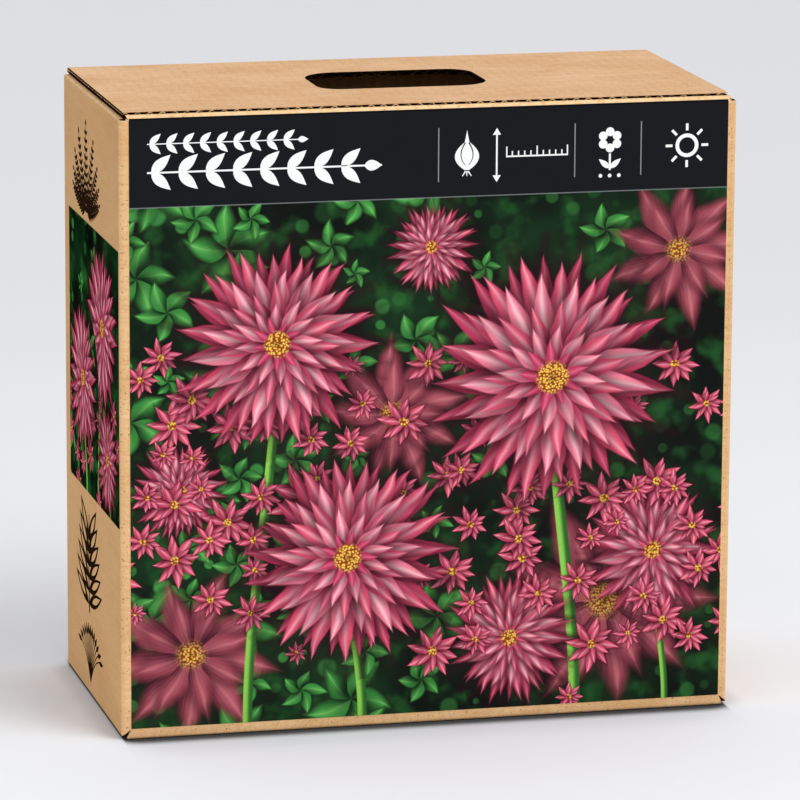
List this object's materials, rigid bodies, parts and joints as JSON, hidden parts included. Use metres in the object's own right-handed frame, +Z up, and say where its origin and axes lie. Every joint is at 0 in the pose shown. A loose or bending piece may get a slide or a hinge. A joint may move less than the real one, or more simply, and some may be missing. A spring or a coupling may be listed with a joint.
{
  "type": "corrugated cardboard carton with hand hole",
  "caption": "Upright corrugated carton with printed sheets on its walls, a hinged lid flap with a rounded hand hole, and inner flaps that fold out of the way.",
  "frame": {"origin": "middle of the underside", "axes": "+Z up; the wide printed face is the front and looks along -Y; +X is to the right of someone facing the front"},
  "size_m": [0.3306, 0.1606, 0.332],
  "materials": {
    "kraft_board": "uncoated kraft liner, matt",
    "kraft_inside": "uncoated kraft liner, matt",
    "printed_paper": "printed paper, satin"
  },
  "bodies": {
    "carton": {"front_panel": "kraft_board", "back_panel": "kraft_board", "left_panel": "kraft_board", "right_panel": "kraft_board", "glue_tab": "kraft_inside", "bottom_front_flap": "kraft_board", "bottom_back_flap": "kraft_board", "bottom_left_flap": "kraft_inside", "bottom_right_flap": "kraft_inside", "front_print_sheet": "printed_paper", "back_print_sheet": "printed_paper", "left_print_sheet": "printed_paper", "right_print_sheet": "printed_paper"},
    "lid": {"lid_flap": "kraft_board"},
    "front_flap": {"front_inner_flap": "kraft_inside"},
    "left_flap": {"left_dust_flap": "kraft_inside"},
    "right_flap": {"right_dust_flap": "kraft_inside"}
  },
  "joints": [
    {"name": "lid_hinge", "type": "hinge", "parent": "carton", "child": "lid", "pos_m": [0, 0.0805, 0.329], "axis": [-1, 0, 0], "range_deg": [0, 210]},
    {"name": "front_flap_hinge", "type": "hinge", "parent": "carton", "child": "front_flap", "pos_m": [0, -0.077, 0.3305], "axis": [1, 0, 0], "range_deg": [0, 189]},
    {"name": "left_flap_hinge", "type": "hinge", "parent": "carton", "child": "left_flap", "pos_m": [-0.1617, 0, 0.3224], "axis": [0, 1, 0], "range_deg": [0, 88]},
    {"name": "right_flap_hinge", "type": "hinge", "parent": "carton", "child": "right_flap", "pos_m": [0.1617, 0, 0.3224], "axis": [0, -1, 0], "range_deg": [0, 88]}
  ],
  "couplings": [
    {"joint": "front_flap_hinge", "follows": "lid_hinge", "ratio": 0.9}
  ]
}
